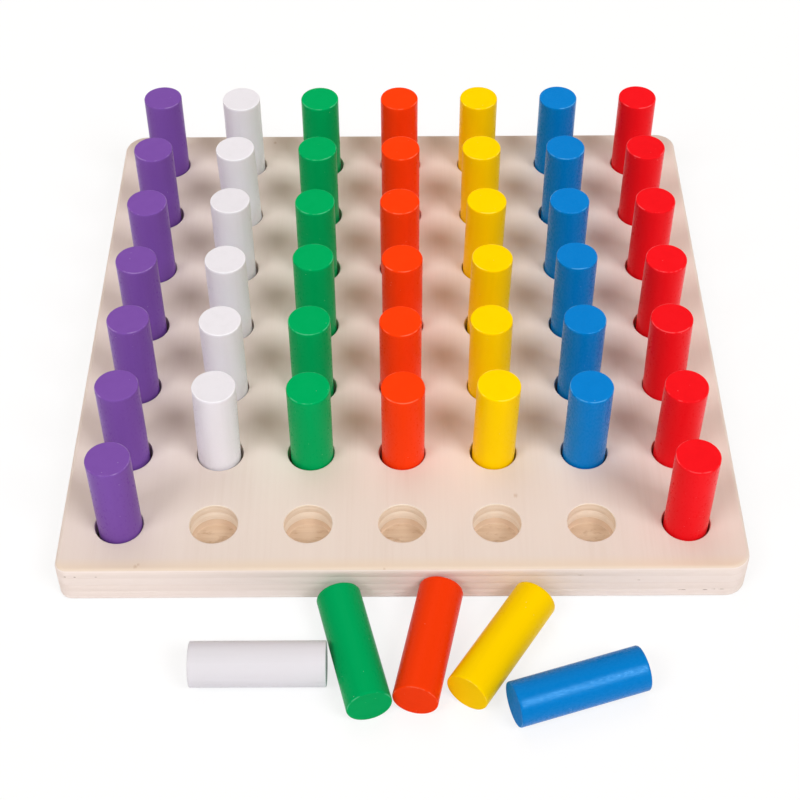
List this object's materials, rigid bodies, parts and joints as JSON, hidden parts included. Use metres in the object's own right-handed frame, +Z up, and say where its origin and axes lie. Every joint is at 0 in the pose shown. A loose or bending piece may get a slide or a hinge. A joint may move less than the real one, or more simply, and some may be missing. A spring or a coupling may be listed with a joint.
{
  "type": "peg board",
  "caption": "Square plywood board with a grid of blind round holes that hold painted wooden dowel pegs, sorted by colour, for grip and sorting play.",
  "frame": {"origin": "middle of the board's underside, on the table", "axes": "+Z up out of the holes, +X to the red column, +Y to the back row, -Y to the row with the empty holes"},
  "size_m": [0.31, 0.382, 0.0667],
  "materials": {
    "plywood": "sanded bare plywood, matt",
    "purple_paint": "purple water-based paint on wood, satin",
    "white_paint": "white water-based paint on wood, satin",
    "green_paint": "green water-based paint on wood, satin",
    "orange_paint": "orange water-based paint on wood, satin",
    "yellow_paint": "yellow water-based paint on wood, satin",
    "blue_paint": "blue water-based paint on wood, satin",
    "red_paint": "red water-based paint on wood, satin"
  },
  "bodies": {
    "board": {"board": "plywood"},
    "peg_purple_1": {"peg_purple_1": "purple_paint"},
    "peg_purple_2": {"peg_purple_2": "purple_paint"},
    "peg_purple_3": {"peg_purple_3": "purple_paint"},
    "peg_purple_4": {"peg_purple_4": "purple_paint"},
    "peg_purple_5": {"peg_purple_5": "purple_paint"},
    "peg_purple_6": {"peg_purple_6": "purple_paint"},
    "peg_purple_7": {"peg_purple_7": "purple_paint"},
    "peg_white_1": {"peg_white_1": "white_paint"},
    "peg_white_2": {"peg_white_2": "white_paint"},
    "peg_white_3": {"peg_white_3": "white_paint"},
    "peg_white_4": {"peg_white_4": "white_paint"},
    "peg_white_5": {"peg_white_5": "white_paint"},
    "peg_white_6": {"peg_white_6": "white_paint"},
    "peg_white_loose": {"peg_white_loose": "white_paint"},
    "peg_green_1": {"peg_green_1": "green_paint"},
    "peg_green_2": {"peg_green_2": "green_paint"},
    "peg_green_3": {"peg_green_3": "green_paint"},
    "peg_green_4": {"peg_green_4": "green_paint"},
    "peg_green_5": {"peg_green_5": "green_paint"},
    "peg_green_6": {"peg_green_6": "green_paint"},
    "peg_green_loose": {"peg_green_loose": "green_paint"},
    "peg_orange_1": {"peg_orange_1": "orange_paint"},
    "peg_orange_2": {"peg_orange_2": "orange_paint"},
    "peg_orange_3": {"peg_orange_3": "orange_paint"},
    "peg_orange_4": {"peg_orange_4": "orange_paint"},
    "peg_orange_5": {"peg_orange_5": "orange_paint"},
    "peg_orange_6": {"peg_orange_6": "orange_paint"},
    "peg_orange_loose": {"peg_orange_loose": "orange_paint"},
    "peg_yellow_1": {"peg_yellow_1": "yellow_paint"},
    "peg_yellow_2": {"peg_yellow_2": "yellow_paint"},
    "peg_yellow_3": {"peg_yellow_3": "yellow_paint"},
    "peg_yellow_4": {"peg_yellow_4": "yellow_paint"},
    "peg_yellow_5": {"peg_yellow_5": "yellow_paint"},
    "peg_yellow_6": {"peg_yellow_6": "yellow_paint"},
    "peg_yellow_loose": {"peg_yellow_loose": "yellow_paint"},
    "peg_blue_1": {"peg_blue_1": "blue_paint"},
    "peg_blue_2": {"peg_blue_2": "blue_paint"},
    "peg_blue_3": {"peg_blue_3": "blue_paint"},
    "peg_blue_4": {"peg_blue_4": "blue_paint"},
    "peg_blue_5": {"peg_blue_5": "blue_paint"},
    "peg_blue_6": {"peg_blue_6": "blue_paint"},
    "peg_blue_loose": {"peg_blue_loose": "blue_paint"},
    "peg_red_1": {"peg_red_1": "red_paint"},
    "peg_red_2": {"peg_red_2": "red_paint"},
    "peg_red_3": {"peg_red_3": "red_paint"},
    "peg_red_4": {"peg_red_4": "red_paint"},
    "peg_red_5": {"peg_red_5": "red_paint"},
    "peg_red_6": {"peg_red_6": "red_paint"},
    "peg_red_7": {"peg_red_7": "red_paint"}
  },
  "joints": [
    {"name": "lift_peg_purple_1", "type": "slide", "parent": "board", "child": "peg_purple_1", "axis": [0, 0, 1], "range_m": [0, 0.075]},
    {"name": "lift_peg_purple_2", "type": "slide", "parent": "board", "child": "peg_purple_2", "axis": [0, 0, 1], "range_m": [0, 0.075]},
    {"name": "lift_peg_purple_3", "type": "slide", "parent": "board", "child": "peg_purple_3", "axis": [0, 0, 1], "range_m": [0, 0.075]},
    {"name": "lift_peg_purple_4", "type": "slide", "parent": "board", "child": "peg_purple_4", "axis": [0, 0, 1], "range_m": [0, 0.075]},
    {"name": "lift_peg_purple_5", "type": "slide", "parent": "board", "child": "peg_purple_5", "axis": [0, 0, 1], "range_m": [0, 0.075]},
    {"name": "lift_peg_purple_6", "type": "slide", "parent": "board", "child": "peg_purple_6", "axis": [0, 0, 1], "range_m": [0, 0.075]},
    {"name": "lift_peg_purple_7", "type": "slide", "parent": "board", "child": "peg_purple_7", "axis": [0, 0, 1], "range_m": [0, 0.075]},
    {"name": "lift_peg_white_1", "type": "slide", "parent": "board", "child": "peg_white_1", "axis": [0, 0, 1], "range_m": [0, 0.075]},
    {"name": "lift_peg_white_2", "type": "slide", "parent": "board", "child": "peg_white_2", "axis": [0, 0, 1], "range_m": [0, 0.075]},
    {"name": "lift_peg_white_3", "type": "slide", "parent": "board", "child": "peg_white_3", "axis": [0, 0, 1], "range_m": [0, 0.075]},
    {"name": "lift_peg_white_4", "type": "slide", "parent": "board", "child": "peg_white_4", "axis": [0, 0, 1], "range_m": [0, 0.075]},
    {"name": "lift_peg_white_5", "type": "slide", "parent": "board", "child": "peg_white_5", "axis": [0, 0, 1], "range_m": [0, 0.075]},
    {"name": "lift_peg_white_6", "type": "slide", "parent": "board", "child": "peg_white_6", "axis": [0, 0, 1], "range_m": [0, 0.075]},
    {"name": "lift_peg_white_loose", "type": "slide", "parent": "board", "child": "peg_white_loose", "axis": [0, 0, 1], "range_m": [0, 0.075]},
    {"name": "lift_peg_green_1", "type": "slide", "parent": "board", "child": "peg_green_1", "axis": [0, 0, 1], "range_m": [0, 0.075]},
    {"name": "lift_peg_green_2", "type": "slide", "parent": "board", "child": "peg_green_2", "axis": [0, 0, 1], "range_m": [0, 0.075]},
    {"name": "lift_peg_green_3", "type": "slide", "parent": "board", "child": "peg_green_3", "axis": [0, 0, 1], "range_m": [0, 0.075]},
    {"name": "lift_peg_green_4", "type": "slide", "parent": "board", "child": "peg_green_4", "axis": [0, 0, 1], "range_m": [0, 0.075]},
    {"name": "lift_peg_green_5", "type": "slide", "parent": "board", "child": "peg_green_5", "axis": [0, 0, 1], "range_m": [0, 0.075]},
    {"name": "lift_peg_green_6", "type": "slide", "parent": "board", "child": "peg_green_6", "axis": [0, 0, 1], "range_m": [0, 0.075]},
    {"name": "lift_peg_green_loose", "type": "slide", "parent": "board", "child": "peg_green_loose", "axis": [0, 0, 1], "range_m": [0, 0.075]},
    {"name": "lift_peg_orange_1", "type": "slide", "parent": "board", "child": "peg_orange_1", "axis": [0, 0, 1], "range_m": [0, 0.075]},
    {"name": "lift_peg_orange_2", "type": "slide", "parent": "board", "child": "peg_orange_2", "axis": [0, 0, 1], "range_m": [0, 0.075]},
    {"name": "lift_peg_orange_3", "type": "slide", "parent": "board", "child": "peg_orange_3", "axis": [0, 0, 1], "range_m": [0, 0.075]},
    {"name": "lift_peg_orange_4", "type": "slide", "parent": "board", "child": "peg_orange_4", "axis": [0, 0, 1], "range_m": [0, 0.075]},
    {"name": "lift_peg_orange_5", "type": "slide", "parent": "board", "child": "peg_orange_5", "axis": [0, 0, 1], "range_m": [0, 0.075]},
    {"name": "lift_peg_orange_6", "type": "slide", "parent": "board", "child": "peg_orange_6", "axis": [0, 0, 1], "range_m": [0, 0.075]},
    {"name": "lift_peg_orange_loose", "type": "slide", "parent": "board", "child": "peg_orange_loose", "axis": [0, 0, 1], "range_m": [0, 0.075]},
    {"name": "lift_peg_yellow_1", "type": "slide", "parent": "board", "child": "peg_yellow_1", "axis": [0, 0, 1], "range_m": [0, 0.075]},
    {"name": "lift_peg_yellow_2", "type": "slide", "parent": "board", "child": "peg_yellow_2", "axis": [0, 0, 1], "range_m": [0, 0.075]},
    {"name": "lift_peg_yellow_3", "type": "slide", "parent": "board", "child": "peg_yellow_3", "axis": [0, 0, 1], "range_m": [0, 0.075]},
    {"name": "lift_peg_yellow_4", "type": "slide", "parent": "board", "child": "peg_yellow_4", "axis": [0, 0, 1], "range_m": [0, 0.075]},
    {"name": "lift_peg_yellow_5", "type": "slide", "parent": "board", "child": "peg_yellow_5", "axis": [0, 0, 1], "range_m": [0, 0.075]},
    {"name": "lift_peg_yellow_6", "type": "slide", "parent": "board", "child": "peg_yellow_6", "axis": [0, 0, 1], "range_m": [0, 0.075]},
    {"name": "lift_peg_yellow_loose", "type": "slide", "parent": "board", "child": "peg_yellow_loose", "axis": [0, 0, 1], "range_m": [0, 0.075]},
    {"name": "lift_peg_blue_1", "type": "slide", "parent": "board", "child": "peg_blue_1", "axis": [0, 0, 1], "range_m": [0, 0.075]},
    {"name": "lift_peg_blue_2", "type": "slide", "parent": "board", "child": "peg_blue_2", "axis": [0, 0, 1], "range_m": [0, 0.075]},
    {"name": "lift_peg_blue_3", "type": "slide", "parent": "board", "child": "peg_blue_3", "axis": [0, 0, 1], "range_m": [0, 0.075]},
    {"name": "lift_peg_blue_4", "type": "slide", "parent": "board", "child": "peg_blue_4", "axis": [0, 0, 1], "range_m": [0, 0.075]},
    {"name": "lift_peg_blue_5", "type": "slide", "parent": "board", "child": "peg_blue_5", "axis": [0, 0, 1], "range_m": [0, 0.075]},
    {"name": "lift_peg_blue_6", "type": "slide", "parent": "board", "child": "peg_blue_6", "axis": [0, 0, 1], "range_m": [0, 0.075]},
    {"name": "lift_peg_blue_loose", "type": "slide", "parent": "board", "child": "peg_blue_loose", "axis": [0, 0, 1], "range_m": [0, 0.075]},
    {"name": "lift_peg_red_1", "type": "slide", "parent": "board", "child": "peg_red_1", "axis": [0, 0, 1], "range_m": [0, 0.075]},
    {"name": "lift_peg_red_2", "type": "slide", "parent": "board", "child": "peg_red_2", "axis": [0, 0, 1], "range_m": [0, 0.075]},
    {"name": "lift_peg_red_3", "type": "slide", "parent": "board", "child": "peg_red_3", "axis": [0, 0, 1], "range_m": [0, 0.075]},
    {"name": "lift_peg_red_4", "type": "slide", "parent": "board", "child": "peg_red_4", "axis": [0, 0, 1], "range_m": [0, 0.075]},
    {"name": "lift_peg_red_5", "type": "slide", "parent": "board", "child": "peg_red_5", "axis": [0, 0, 1], "range_m": [0, 0.075]},
    {"name": "lift_peg_red_6", "type": "slide", "parent": "board", "child": "peg_red_6", "axis": [0, 0, 1], "range_m": [0, 0.075]},
    {"name": "lift_peg_red_7", "type": "slide", "parent": "board", "child": "peg_red_7", "axis": [0, 0, 1], "range_m": [0, 0.075]}
  ]
}
